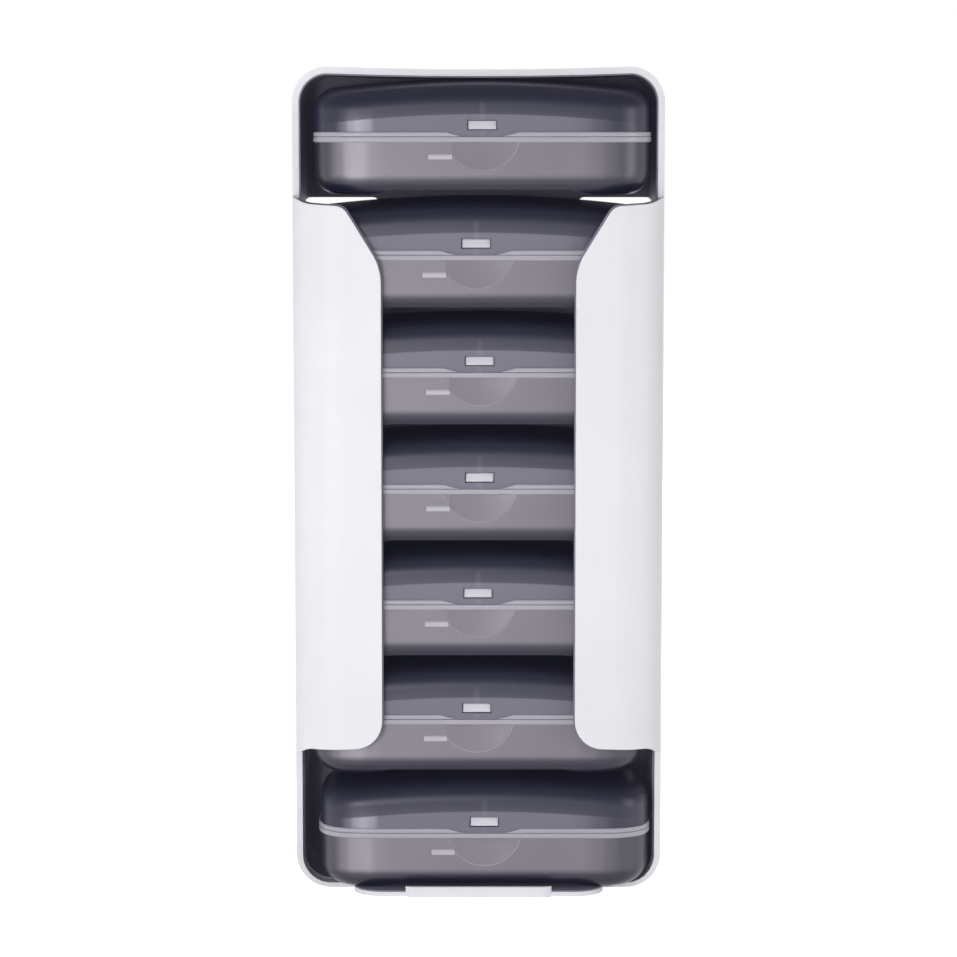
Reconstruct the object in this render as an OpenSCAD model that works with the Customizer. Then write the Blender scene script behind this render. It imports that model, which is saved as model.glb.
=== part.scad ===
// Daily pill boxes, seven of them, stacked in an upright holder.
// Each box is a tray and a crowned lid on a hinge rod. The holder is a white
// shell with a thin dark lining, open at the top front, where a box goes in,
// and at the bottom front, where a box comes out.
// X points right, Y points back, Z points up. The front of the holder is -Y.

/* [Box] */
// Width of a box over its rim beads
box_w = 91.2; // [80:0.1:110]
// Depth of a box over its rim beads, without the hinge
box_d = 38; // [34:0.1:60]
// Height of a tray, from its underside to the seam
tray_h = 15.35; // [14:0.05:24]
// Height of a lid, from the seam to its crown
lid_h = 15.55; // [13:0.05:22]
// Radius of the upright corners of a box
plan_r = 11; // [9:0.5:14]
// Wall thickness of a tray
tray_wall = 1.8; // [1.6:0.05:2.2]
// Thickness of the floor of a tray
tray_floor = 2.6; // [2.2:0.1:4]
// Wall thickness of a lid
lid_wall = 1.2; // [1:0.05:1.4]
// Height of the curve at the lower front and back edges of a tray
tray_edge_h = 5.6; // [3.5:0.1:7]
// Depth of the same curve
tray_edge_d = 3.4; // [2.6:0.1:6]
// Radius of the lower side edges of a tray
tray_side_r = 6; // [3.5:0.1:8]
// Radius of the upper front and back edges of a lid
lid_edge_r = 5.4; // [4:0.1:9]
// Radius of the upper side edges of a lid
lid_side_r = 5.8; // [4:0.1:8]
// Radius of the crown of a lid, seen from the front
crown_r = 350; // [250:10:600]
// Radius of the crown of a lid, seen from the side
crown_side_r = 66; // [45:1:90]
// How far the rim beads stand proud of the walls
bead_out = 0.45; // [0.2:0.05:0.7]
// Height of the bead round a lid
lid_bead_h = 1.3; // [1.2:0.1:2.2]
// Height of the bead round a tray
tray_bead_h = 1.4; // [0.6:0.1:2]
// Height of the locating lip of a tray above the seam, in the middle
lip_up = 6.3; // [5.8:0.1:7]
// Thickness of the locating lip
lip_t = 0.8; // [0.6:0.1:1]
// Thickness of the divider between the two compartments
divider_t = 1.2; // [0.8:0.1:2]
// Width of the gap at the seam
seam_gap = 0.2; // [0.1:0.05:0.4]

/* [Catch] */
// Width of the catch in the middle of the front
catch_w = 7.4; // [5:0.1:12]
// Height of the catch
catch_h = 2.2; // [1.6:0.1:2.8]
// Height of the middle of the catch above the seam
catch_z = 3.1; // [2.9:0.1:4]
// Gap round the catch in its window
catch_gap = 0.3; // [0.15:0.05:0.5]
// Radius of the thumb scoop below the seam
scoop_r = 10.15; // [7:0.05:12]
// Depth of the thumb scoop
scoop_d = 0.9; // [0.4:0.05:1.1]
// Distance from the middle of the scoop to its upright left edge
scoop_left = 8; // [5:0.1:9]
// Width of the raised ledge beside the scoop
ledge_w = 6.4; // [3:0.1:9]
// Height of the raised ledge
ledge_h = 1.6; // [1:0.1:2.4]
// Depth of the middle of the ledge below the seam
ledge_z = 5.2; // [4:0.1:7]

/* [Hinge] */
// Radius of the hinge barrel at the back of a box
hinge_r = 1.7; // [1.4:0.05:2]
// Diameter of the hinge rod
rod_d = 1.5; // [1:0.1:1.8]
// Radial gap between the rod and its bores
rod_gap = 0.05; // [0.02:0.01:0.1]
// Length of the hinge
hinge_w = 60; // [40:1:70]
// Length of each of the three tray knuckles
knuckle_w = 6; // [4:0.5:10]
// Gap between knuckles, and between the barrel and the box
hinge_gap = 0.3; // [0.2:0.05:0.5]

/* [Stack] */
// Height between a box and the next one above
stack_gap = 0.46; // [0.3:0.02:0.8]
// Height between the lowest box and the lining under it
rest_gap = 0.1; // [0.05:0.05:0.3]
// Height between the highest crown and the lining of the roof
head_gap = 0.2; // [0.2:0.05:2]
// Gap on each side of a box that stands in the middle
side_play = 2.25; // [1:0.05:4]
// Gap between a box and the lining of the cheeks
front_play = 1.25; // [0.8:0.05:3]
// Gap between a hinge barrel and the lining of the back
rear_gap = 0.5; // [0.3:0.05:2]
// Least gap kept beside a box
side_gap = 0.3; // [0.2:0.05:0.5]

/* [Holder] */
// Wall thickness of the shell
shell_wall = 1.75; // [1.4:0.05:2.4]
// Thickness of the floor of the shell
shell_floor = 1.25; // [0.8:0.05:2]
// Thickness of the lining
liner_t = 0.35; // [0.3:0.05:0.8]
// Bond line between the shell and the lining
bond_gap = 0.05; // [0.02:0.01:0.1]
// Radius of the edges that run from front to back
edge_r = 9.5; // [7:0.5:12]
// Radius of the upright front edges of the cheeks
cheek_r = 13; // [10:0.5:15]
// Radius of the upright back edges
back_r = 6; // [4:0.5:9]
// How far the middle of the roof dips below its corners
roof_dip = 0.8; // [0.4:0.1:1.5]
// How far the boxes stand in front of the side walls
box_out = 9.6; // [8:0.1:12]
// How far the lining shows past the edges of the shell
liner_lip = 0.4; // [0.2:0.05:0.8]
// How far the lining stands back from the front edges of the side walls
liner_back = 0.3; // [0.1:0.1:2]
// How far it stands back below the cheeks
liner_low_back = 4.5; // [1:0.1:12]

/* [Openings] */
// Width of the window between the cheeks
window_w = 52; // [30:1:60]
// Height from the outer top corner of a cheek up to the top box
cheek_top_gap = 0.75; // [0.5:0.05:2]
// How far the top edge of a cheek falls towards the window
cheek_fall = 2.3; // [1:0.05:3]
// Width of the slanted shoulder of a cheek
shoulder_w = 10; // [5:0.5:12]
// Height of the slanted shoulder of a cheek
shoulder_h = 16.2; // [8:0.2:24]
// Height of the bottom edge of a cheek above the lowest crown, at the window
cheek_low_gap = 8.55; // [6:0.05:14]
// How far that edge falls towards the outside
cheek_low_fall = 0.6; // [0.2:0.05:3]
// Width of the spine between the two rear windows
spine_w = 56; // [40:1:70]
// Height from the top of the rear windows up to the top box
rear_top_gap = 1.4; // [1:0.1:4]
// Height of the bottom of the rear windows above the lowest crown
rear_low_gap = 5.8; // [4:0.1:12]
// Radius of the inner corners of the rear windows
rear_r = 1.5; // [1:0.5:6]

/* [Tongue] */
// Width of the tongue under the lowest box
tongue_w = 68; // [50:1:76]
// How far the tongue reaches in front of the boxes
tongue_out = 1.4; // [0.8:0.1:3]
// Radius of the front corners of the tongue
tongue_r = 8; // [3:0.5:12]
// Width of the raised tab on the tongue
tab_w = 40.2; // [24:0.2:44]
// How far the tab reaches in front of the tongue
tab_out = 1.4; // [0.8:0.1:3]
// Thickness of the raised edge of the tab
tab_t = 1.2; // [0.8:0.1:1.6]
// Radius of the front corners of the tab
tab_r = 2.5; // [2:0.1:4]
// Height of the tab above the lining of the floor
tab_rise = 1.25; // [0.4:0.05:1.4]
// Height between the tab and the channel in the trays that pass over it
tab_gap = 0.2; // [0.1:0.05:0.5]

/* [Hidden] */
$fn = 96;
far = 400;

boxes = 7;
// Where each box stands in its side play, from the top down, -1 left to 1 right
sway = [0.52, -0.31, 0.17, 0.17, -0.06, -0.23, 0.82];

box_h = tray_h + lid_h;
pitch = box_h + stack_gap;
skin = shell_wall + bond_gap + liner_t;
floor_top = shell_floor + bond_gap + liner_t;
box_z0 = floor_top + rest_gap;
low_crown = box_z0 + box_h;
top_box_z = box_z0 + (boxes - 1) * pitch;
shell_h = top_box_z + box_h + head_gap + skin + roof_dip;
shell_w = box_w + 2 * (side_play + skin);
cheek_y = box_out + front_play + skin;
hinge_y = box_d + hinge_gap + hinge_r;
back_y = hinge_y + hinge_r - box_out + rear_gap + skin;
mid_y = (back_y - cheek_y) / 2;
tongue_y = box_out + tongue_out;
tab_y = tongue_y + tab_out;

half_seam = seam_gap / 2;
body_w = box_w - 2 * bead_out;
body_d = box_d - 2 * bead_out;
lip_in = bead_out + lid_wall + 0.15;
lap = 1.3;
channel_h = tab_rise - rest_gap + tab_gap;
channel_w = tab_w + 2 * side_play;
channel_slope = 2.5;

// Points along an arc from angle a to angle b
function arc(c, r, a, b, n) =
    [for (i = [0:n]) c + r * [cos(a + (b - a) * i / n), sin(a + (b - a) * i / n)]];

function unit(v) = v / norm(v);

// The points that round one corner p between its neighbours a and b
function corner(a, p, b, r, n) =
    r == 0 ? [p] :
    let (
        u = unit(a - p),
        v = unit(b - p),
        half = acos(u * v) / 2,
        c = p + unit(u + v) * r / sin(half),
        start = p + u * r / tan(half) - c,
        end = p + v * r / tan(half) - c,
        a0 = atan2(start[1], start[0]),
        turn = atan2(end[1], end[0]) - a0,
        sweep = turn > 180 ? turn - 360 : turn < -180 ? turn + 360 : turn
    )
    arc(c, r, a0, a0 + sweep, n);

// An open path with each inner corner rounded by its own radius
function rounded(path, radii, n = 8) = [
    for (i = [0:len(path) - 1])
        each (i == 0 || i == len(path) - 1) ? [path[i]]
            : corner(path[i - 1], path[i], path[i + 1], radii[i], n)
];

function mirrored(path) = [for (i = [len(path) - 1:-1:0]) [-path[i][0], path[i][1]]];

// Stands a flat shape drawn as X and Z upright, and runs it along Y
module along_y(y0, y1) {
    translate([0, y1, 0]) rotate([90, 0, 0]) linear_extrude(y1 - y0) children();
}

// Stands a flat shape drawn as Y and Z upright, and runs it along X
module along_x(x0, x1) {
    translate([x0, 0, 0]) rotate([90, 0, 90]) linear_extrude(x1 - x0) children();
}

// A rectangle from [x0, y0] to [x1, y1] with round corners
module round_rect(x0, y0, x1, y1, r) {
    translate([x0 + r, y0]) square([x1 - x0 - 2 * r, y1 - y0]);
    translate([x0, y0 + r]) square([x1 - x0, y1 - y0 - 2 * r]);
    for (x = [x0 + r, x1 - r]) for (y = [y0 + r, y1 - r]) translate([x, y]) circle(r);
}

// Puts the middle of the holder's depth at the origin
module centred() {
    translate([0, -mid_y, 0]) children();
}

// Puts a box in its place in the stack, box 1 at the top
module stacked(i) {
    x = sway[i - 1] * (side_play - side_gap);
    z = box_z0 + (boxes - i) * pitch;
    centred() translate([x, -box_out, z]) children();
}

// The holder seen from the front, drawn in by inset, and by low at the floor
module front_outline(inset, low) {
    c = shell_w / 2 - edge_r;
    chord = c + 1.5;
    dip_r = (chord * chord + roof_dip * roof_dip) / (2 * roof_dip);
    w = shell_w / 2 - inset;
    r = edge_r - inset;
    difference() {
        round_rect(-w, low, w, shell_h - inset, r);
        translate([0, shell_h - roof_dip + dip_r]) circle(dip_r + inset, $fn = 720);
    }
}

// The holder seen from above
module plan_outline(inset) {
    w = shell_w / 2 - inset;
    y0 = inset - cheek_y;
    y1 = back_y - inset;
    rf = cheek_r - inset;
    rb = back_r - inset;
    translate([rf - w, y0]) square([2 * (w - rf), y1 - y0]);
    translate([-w, y0 + rf]) square([2 * w, y1 - y0 - rf - rb]);
    translate([rb - w, y0 + rf]) square([2 * (w - rb), y1 - y0 - rf]);
    for (s = [-1, 1]) {
        translate([s * (w - rf), y0 + rf]) circle(rf);
        translate([s * (w - rb), y1 - rb]) circle(rb);
    }
}

module block(inset, low) {
    intersection() {
        along_y(-cheek_y - 1, back_y + 1) front_outline(inset, low);
        translate([0, 0, -1]) linear_extrude(shell_h + 2) plan_outline(inset);
    }
}

// One side of the front opening, from the top down, grown inwards by lip
function opening_side(lip) =
    let (
        x = window_w / 2 - lip,
        top = top_box_z - cheek_top_gap + lip,
        low = low_crown + cheek_low_gap - lip,
        bend_x = shell_w / 2 - 4 - lip,
        out = shell_w / 2 + 10,
        inner_z = top - cheek_fall,
        low_bend = low - cheek_low_fall
    )
    rounded(
        [
            [out, top + 4.5],
            [bend_x, top - cheek_fall * 0.72],
            [x + shoulder_w, inner_z],
            [x, inner_z - shoulder_h],
            [x, low],
            [bend_x, low_bend],
            [out, low_bend - 9]
        ],
        [0, 10, 4, 15, 7.5, 5, 0]
    );

// What is open at the front, from the cheeks forward of the side walls
module front_opening(lip, y) {
    side = opening_side(lip);
    out = shell_w / 2 + 10;
    along_y(-far / 8, y)
        polygon(concat(
            [[-out, shell_h + 10], [out, shell_h + 10]],
            side,
            [[out, -10], [-out, -10]],
            mirrored(side)
        ));
}

// The two windows at the back, behind the cheeks
module rear_windows(grow) {
    x0 = spine_w / 2 - grow;
    x1 = shell_w / 2 - shell_wall;
    z0 = low_crown + rear_low_gap;
    z1 = top_box_z - rear_top_gap;
    for (s = [0, 1]) mirror([s, 0, 0])
        along_y(back_y - back_r - 2, back_y + 2)
            round_rect(x0, z0, x1, z1, rear_r);
}

module tongue_outline() {
    w = tongue_w / 2;
    translate([-w, tongue_r - tongue_y]) square([2 * w, tongue_y - tongue_r + 2]);
    translate([tongue_r - w, -tongue_y]) square([2 * (w - tongue_r), tongue_r]);
    for (s = [-1, 1]) translate([s * (w - tongue_r), tongue_r - tongue_y]) circle(tongue_r);
}

// The tab seen from above, drawn in by inset
module tab_outline(inset) {
    w = tab_w / 2 - inset;
    round_rect(-w, inset - tab_y, w, 3 * tab_r - tab_y - inset, tab_r - inset);
}

module outer_shell() {
    color("#efeef2") centred() {
        difference() {
            block(0, 0);
            block(shell_wall, shell_floor);
            front_opening(0, 0);
            rear_windows(0);
        }
        linear_extrude(shell_floor) tongue_outline();
        linear_extrude(shell_floor) tab_outline(0);
        linear_extrude(floor_top + tab_rise) difference() {
            tab_outline(0);
            tab_outline(tab_t);
            translate([-tab_w, -tongue_y - bond_gap]) square([2 * tab_w, far]);
        }
    }
}

module inner_liner() {
    gap = shell_wall + bond_gap;
    low = shell_floor + bond_gap;
    side_low = low_crown + cheek_low_gap - cheek_low_fall;
    color("#2b2c33") centred() {
        difference() {
            block(gap, low);
            block(gap + liner_t, low + liner_t);
            front_opening(liner_lip, liner_back);
            rear_windows(liner_lip);
            for (s = [-1, 1])
                translate([s * shell_w / 2, -cheek_y / 2, low - 1 + side_low / 2])
                    cube([shell_w - tongue_w, cheek_y + 2 * liner_low_back, side_low], center = true);
        }
        translate([0, 0, low]) linear_extrude(liner_t) tongue_outline();
    }
}

// A box seen from above, drawn in by inset from its beads
module box_plan(inset) {
    round_rect(inset - box_w / 2, inset, box_w / 2 - inset, box_d - inset, plan_r - inset);
}

// The solid that a tray is hollowed from, drawn in by inset from its walls
module tray_form(inset, z0, z1) {
    w = body_w / 2 - inset;
    y0 = bead_out + inset;
    d = tray_edge_d - inset;
    h = tray_edge_h - inset;
    edge = concat(
        [[y0, z1]],
        [for (a = [0:9:90]) [y0 + d * (1 - cos(a)), z0 + h * (1 - sin(a))]]
    );
    back = [for (i = [len(edge) - 1:-1:0]) [box_d - edge[i][0], edge[i][1]]];
    intersection() {
        along_x(-box_w, box_w) polygon(concat(edge, back));
        along_y(-1, box_d + 1)
            polygon(rounded(
                [[-w, z1], [-w, z0], [w, z0], [w, z1]],
                [0, tray_side_r - inset, tray_side_r - inset, 0]
            ));
        translate([0, 0, z0 - 1]) linear_extrude(z1 - z0 + 2) box_plan(bead_out + inset);
    }
}

// The knuckles at the given places, on a web above or below the rod
module knuckles(places, length, z0, z1) {
    difference() {
        union() {
            for (x = places) {
                translate([x - length / 2, hinge_y, tray_h])
                    rotate([0, 90, 0]) cylinder(length, hinge_r, hinge_r);
                translate([x - length / 2, box_d - bead_out - lid_wall / 2, tray_h + z0])
                    cube([length, hinge_y - box_d + bead_out + lid_wall / 2, z1 - z0]);
            }
        }
        translate([-box_w, hinge_y, tray_h])
            rotate([0, 90, 0]) cylinder(2 * box_w, rod_d / 2 + rod_gap, rod_d / 2 + rod_gap);
    }
}

// The nib that holds the lid shut, on the locating lip in the middle of the front
module catch() {
    nib_low = tray_h + catch_z - catch_h / 2;
    nib_top = nib_low + catch_h;
    along_x(-catch_w / 2, catch_w / 2)
        polygon([
            [lip_in + 0.1, nib_low],
            [bead_out + 0.15, nib_low],
            [bead_out + lid_wall * 0.75, nib_top],
            [lip_in + 0.1, nib_top]
        ]);
}

// The lip that locates the lid. Its top follows the crown of the lid.
module lip() {
    difference() {
        translate([0, 0, tray_h - lap]) linear_extrude(lap + lip_up) box_plan(lip_in);
        translate([0, 0, tray_h - 2 * lap]) linear_extrude(2 * lap + 2 * lip_up) box_plan(lip_in + lip_t);
        along_y(-1, box_d + 1) difference() {
            translate([-box_w, tray_h]) square([2 * box_w, 2 * lip_up]);
            translate([0, tray_h + lip_up - crown_r]) circle(crown_r, $fn = 720);
        }
    }
}

// The shallow channel along the underside, which passes over the tab
module channel() {
    w = channel_w / 2;
    foot = w + channel_slope;
    along_y(-1, box_d + 1)
        polygon([[-foot, 0], [-w, channel_h], [w, channel_h], [foot, 0], [foot, -1], [-foot, -1]]);
}

module scoop() {
    out = 0.1;
    slope = 0.6;
    translate([0, bead_out - out, tray_h + 1.15])
        rotate([-90, 0, 0])
            cylinder(scoop_d + out, scoop_r + out * slope, scoop_r - scoop_d * slope);
}

module tray(i) {
    top = tray_h - half_seam;
    bead_z = top - tray_bead_h;
    color([0.52, 0.5, 0.54]) stacked(i) {
        difference() {
            union() {
                tray_form(0, 0, top);
                translate([0, 0, bead_z]) linear_extrude(tray_bead_h) box_plan(0);
            }
            tray_form(tray_wall, tray_floor, tray_h + 5);
            channel();
            intersection() {
                scoop();
                translate([-scoop_left, -1, 0]) cube([2 * scoop_left + 10, 10, bead_z]);
            }
        }
        lip();
        translate([-divider_t / 2, lip_in + lip_t / 2, tray_floor - 0.5])
            cube([divider_t, box_d - 2 * lip_in - lip_t, tray_h - tray_floor + 1.5]);
        catch();
        along_x(-scoop_left - ledge_w, -scoop_left)
            polygon([
                [bead_out + 0.3, tray_h - ledge_z + ledge_h / 2],
                [bead_out, tray_h - ledge_z + ledge_h / 2],
                [0, tray_h - ledge_z + ledge_h / 4],
                [0, tray_h - ledge_z - ledge_h / 2],
                [bead_out + 0.3, tray_h - ledge_z - ledge_h / 2]
            ]);
        knuckles(
            [-hinge_w / 2 + knuckle_w / 2, 0, hinge_w / 2 - knuckle_w / 2],
            knuckle_w, -hinge_r, -half_seam
        );
    }
}

// The outline of a lid seen from the side, as Y and height above the seam
function lid_side(inset, z0) =
    let (
        mid = box_d / 2,
        top_c = [mid, lid_h - crown_side_r],
        y = bead_out + lid_edge_r,
        run = mid - y,
        z = top_c[1] + sqrt(pow(crown_side_r - lid_edge_r, 2) - run * run),
        a = atan2(z - top_c[1], y - mid)
    )
    concat(
        [[bead_out + inset, z0]],
        arc([y, z], lid_edge_r - inset, 180, a, 8),
        arc(top_c, crown_side_r - inset, a, 180 - a, 12),
        arc([box_d - y, z], lid_edge_r - inset, 180 - a, 0, 8),
        [[box_d - bead_out - inset, z0]]
    );

// One side of a lid seen from the front, as X and height above the seam
function lid_front(inset, z0) =
    let (
        x = body_w / 2 - lid_side_r,
        z_c = lid_h - crown_r,
        z = z_c + sqrt(pow(crown_r - lid_side_r, 2) - x * x),
        a = atan2(z - z_c, x),
        end = [0, z_c] + (crown_r - inset) * [cos(a), sin(a)]
    )
    concat(
        [[body_w / 2 - inset, z0]],
        arc([x, z], lid_side_r - inset, 0, a, 8),
        [[end[0], 2 * lid_h]]
    );

// The solid of a lid: its side outline swept over the wide arc of its crown
module lid_form(inset, z0) {
    span = 2 * asin(box_w / 2 / (crown_r - lid_h)) + 4;
    side = lid_side(inset, z0);
    front = lid_front(inset, z0 - 1);
    drop = crown_r - lid_h;
    intersection() {
        translate([0, 0, -drop])
            rotate([0, 0, -90]) rotate([0, -90, 0]) rotate([0, 0, -span / 2])
                rotate_extrude(angle = span, $fn = 720)
                    polygon([for (p = side) [p[1] + drop, p[0]]]);
        along_y(-1, box_d + 1) polygon(concat(front, mirrored(front)));
        translate([0, 0, z0 - 5]) linear_extrude(3 * lid_h) box_plan(bead_out + inset);
    }
}

// The rib inside a lid, over the divider, which clears the locating lip
module rib() {
    clear = lip_in + lip_t + catch_gap;
    low = tray_h + lap;
    translate([-divider_t / 2, clear, low]) cube([divider_t, box_d - 2 * clear, 2 * lid_h]);
    translate([-divider_t / 2, -1, tray_h + lip_up + catch_gap])
        cube([divider_t, box_d + 2, 2 * lid_h]);
}

module lid(i) {
    lift = tray_h + half_seam;
    dip_r = 30;
    dip = 0.4;
    color([0.42, 0.41, 0.46]) stacked(i) {
        difference() {
            union() {
                intersection() {
                    translate([0, 0, tray_h]) lid_form(0, -8);
                    translate([-box_w, -1, lift]) cube([2 * box_w, box_d + 2, 2 * lid_h]);
                }
                difference() {
                    translate([0, 0, lift])
                        linear_extrude(lid_bead_h - half_seam) box_plan(0);
                    translate([0, bead_out, tray_h - dip + dip_r])
                        rotate([90, 0, 0]) cylinder(2, dip_r, dip_r);
                }
            }
            difference() {
                translate([0, 0, tray_h]) lid_form(lid_wall, -9);
                rib();
            }
            translate([-catch_w / 2 - catch_gap, -1, tray_h + catch_z - catch_h / 2 - catch_gap])
                cube([catch_w + 2 * catch_gap, lip_in + 1, catch_h + 2 * catch_gap]);
        }
        knuckles(
            [for (s = [-1, 1]) s * (hinge_w / 4 - knuckle_w / 4)],
            hinge_w / 2 - 1.5 * knuckle_w - 2 * hinge_gap, half_seam, hinge_r
        );
    }
}

module hinge_rod(i) {
    color("silver") stacked(i)
        translate([-hinge_w / 2, hinge_y, tray_h])
            rotate([0, 90, 0]) cylinder(hinge_w, rod_d / 2, rod_d / 2);
}

outer_shell();
inner_liner();
for (i = [1:boxes]) {
    tray(i);
    lid(i);
    hinge_rod(i);
}
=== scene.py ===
from math import atan2, copysign, cos, pi, radians, sin, sqrt

import bmesh
import bpy
from mathutils import Matrix, Vector


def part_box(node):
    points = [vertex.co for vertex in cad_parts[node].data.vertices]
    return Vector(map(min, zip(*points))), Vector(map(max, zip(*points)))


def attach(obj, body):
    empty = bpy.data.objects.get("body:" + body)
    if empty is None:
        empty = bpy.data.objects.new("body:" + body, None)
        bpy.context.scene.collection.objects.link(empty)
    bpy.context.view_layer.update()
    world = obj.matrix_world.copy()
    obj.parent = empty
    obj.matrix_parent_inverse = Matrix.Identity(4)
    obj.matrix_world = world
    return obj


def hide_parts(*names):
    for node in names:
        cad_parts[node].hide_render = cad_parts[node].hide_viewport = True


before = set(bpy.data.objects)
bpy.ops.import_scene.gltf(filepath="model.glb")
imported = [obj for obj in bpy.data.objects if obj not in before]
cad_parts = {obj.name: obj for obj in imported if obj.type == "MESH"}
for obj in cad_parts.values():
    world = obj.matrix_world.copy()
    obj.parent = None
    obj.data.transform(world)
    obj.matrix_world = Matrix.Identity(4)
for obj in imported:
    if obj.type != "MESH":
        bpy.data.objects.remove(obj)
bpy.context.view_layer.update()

# Shapes are worked out in millimetres, and finish_piece() scales them to metres. The places of
# the lamps and the camera and the depth of a bump are in metres.
MM = 0.001

# A box, in its own frame: x from its middle, y back from the front of its bead, z up from its
# underside. The tray is under the seam and the lid over it.
BOXES = 7
BOX_W = 91.2
BOX_D = 38.0
TRAY_H = 15.35
LID_H = 15.55
HALF_SEAM = 0.015

# The corners of a box's outline. A power of 2 is a round corner, and a higher one is fuller.
CORNER = 16.0
CORNER_POWER = 2.8

# Walls, the height of the beads at the seam, and how far these stand out from the walls.
TRAY_WALL = 1.8
TRAY_FLOOR = 2.6
LID_WALL = 1.2
BEAD = 0.45
LID_BEAD = 1.3
TRAY_BEAD = 1.4

# The rounding of the beads. Each pair is how far in a ring lies, and its height above or depth
# below the edge that it belongs to.
LID_BEAD_LOW = [(0.3, 0), (0.11, 0.07), (0.02, 0.24), (0, 0.4)]
LID_BEAD_TOP = [(0, 0.38), (0.05, 0.17), (0.17, 0.04), (BEAD - 0.09, 0)]
LID_WALL_FOOT = 0.08
LID_INNER_FOOT = 1.2
TRAY_BEAD_LOW = [(BEAD - 0.09, 0.01), (0.16, 0.05), (0.04, 0.16), (0, 0.3)]
TRAY_BEAD_TOP = [(0, 0.2), (0.07, 0.06), (0.25, 0)]
TRAY_WALL_TOP = 0.06

# The tray's rounded lower edge: its height and depth at the front, and its radius at the sides.
EDGE_H = 5.6
EDGE_D = 3.4
TRAY_SIDE_R = 6.0
TRAY_EDGE_RINGS = 12
TRAY_WALL_RINGS = (8, 11)

# The lid's crowned top from side to side and from front to back, its rounded edges, and half the
# length of the line in its middle that the crown closes onto.
CROWN_R = 350.0
CROWN_SIDE_R = 66.0
LID_EDGE_R = 5.4
LID_SIDE_R = 5.8
RIDGE = 26.0
LID_WALL_PARTS = (0, 0.3, 0.65, 1)
LID_EDGE_RINGS = 14
CROWN_RINGS = 9

# The lid's bead dips in its middle, where an arc cuts it away. DIP is how far the arc's lowest
# point lies under the seam.
DIP = 0.4
DIP_R = 30.0
DIP_HALF = 12.0
DIP_UP = 4.0

# The tray's locating lip, inside the lid's wall, and the divider between the two compartments.
LIP_GAP = 0.15
LIP_IN = BEAD + LID_WALL + LIP_GAP
LIP_T = 0.8
LIP_UP = 6.3
LIP_ROUND = 0.2
LAP = 1.3
LAP_SLOPE = 0.01
DIVIDER = 1.2
DIVIDER_UP = 1.0
DIVIDER_ROOT = 0.5

# The rib over the divider. Each pair is a point of its upper edge: how far in from the lid's wall
# or out from the lid's middle it is, and how far under the highest point.
RIB_SHOULDER = (3.5, 2.4)
RIB_CROWN = (7, 0.5)

# The thumb scoop: a thin round step whose side leans in, and a dish in it. The cutters start in
# front of the wall, a little wider, and the dish starts just short of the step's depth.
SCOOP_R = 10.15
SCOOP_UP = 1.15
SCOOP_LEFT = 8.0
SCOOP_STEP = 0.16
SCOOP_LEAN = 0.12
SCOOP_D = 0.6
SCOOP_OUT = 0.08
STEP_WIDER = 0.1
DISH_WIDER = 0.3
DISH_START = 0.98
DISH_PARTS = (0.94, 0.86, 0.74, 0.6, 0.45, 0.3, 0.15, 0.02)

# The raised ledge left of the scoop. LEDGE_DOWN is from the seam to its middle.
LEDGE_X = -14.4
LEDGE_W = 6.4
LEDGE_H = 1.6
LEDGE_DOWN = 5.2
LEDGE_Y = 0.05
LEDGE_SLOPE = 0.4
LEDGE_ROOT = 0.4
LEDGE_BEVEL = 0.18

# The catch: a nib on the tray's lip, in a window in the lid. CATCH_Z is from the seam to its
# middle.
CATCH_W = 7.4
CATCH_H = 2.2
CATCH_Z = 3.1
CATCH_GAP = 0.3
NIB_IN = 0.15
NIB_TOP_SHARE = 0.75
NIB_ROOT = 0.3
NIB_BEVEL = 0.14

# The hinge behind the box.
HINGE_Y = 40.0
HINGE_R = 1.7
HINGE_W = 60.0
KNUCKLE_W = 6.0
KNUCKLE_GAP = 0.3
KNUCKLE_BEVEL = 0.15
BORE_R = 0.8

# The channel along the tray's underside: half the width of its flat part, its height, and the
# run of the curve at each side of it.
CHANNEL_W = 22.35
CHANNEL_H = 1.35
CHANNEL_RUN = 9.0

# How far a cutter runs past what it cuts, and how little it enters the wall behind a bead. WIDE
# and DEEP are more than the scoop's half width and depth.
PAST = 1.0
TOUCH = 0.003
WIDE = 20.0
DEEP = 9.0

# How finely shapes are divided. Within FINE_HALF of the middle, the points of the front and the
# back lie closer together.
FINE_HALF = 14
FINE_STEPS = 40
COARSE_STEPS = 12
SIDE_STEPS = 4
TURN_STEPS = 22
DIP_STEPS = 48
CHANNEL_STEPS = 16
ROD_STEPS = 48
LATHE_STEPS = 120

# How near points are joined, below which length a normal is no direction, and how a piece is
# smoothed.
JOIN = 0.0004
JOIN_FINE = 1e-6
NO_LENGTH = 1e-9
SMOOTH_ANGLE = 38
NORMAL_WEIGHT = 60

HX = BOX_W / 2
HY = BOX_D / 2
ARC_X = HX - CORNER
ARC_Y = HY - CORNER


# Mesh helpers


def link_object(obj):
    bpy.context.scene.collection.objects.link(obj)
    return obj


def make_object(name, verts, faces):
    mesh = bpy.data.meshes.new(name)
    mesh.from_pydata(verts, [], faces)
    mesh.validate()
    return link_object(bpy.data.objects.new(name, mesh))


def clean_mesh(obj, distance=JOIN):
    """Joins points that coincide and turns the faces outwards."""
    bm = bmesh.new()
    bm.from_mesh(obj.data)
    bmesh.ops.remove_doubles(bm, verts=bm.verts, dist=distance)
    bmesh.ops.dissolve_degenerate(bm, edges=bm.edges, dist=distance / 4)
    bmesh.ops.recalc_face_normals(bm, faces=bm.faces)
    bm.to_mesh(obj.data)
    bm.free()


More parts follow.
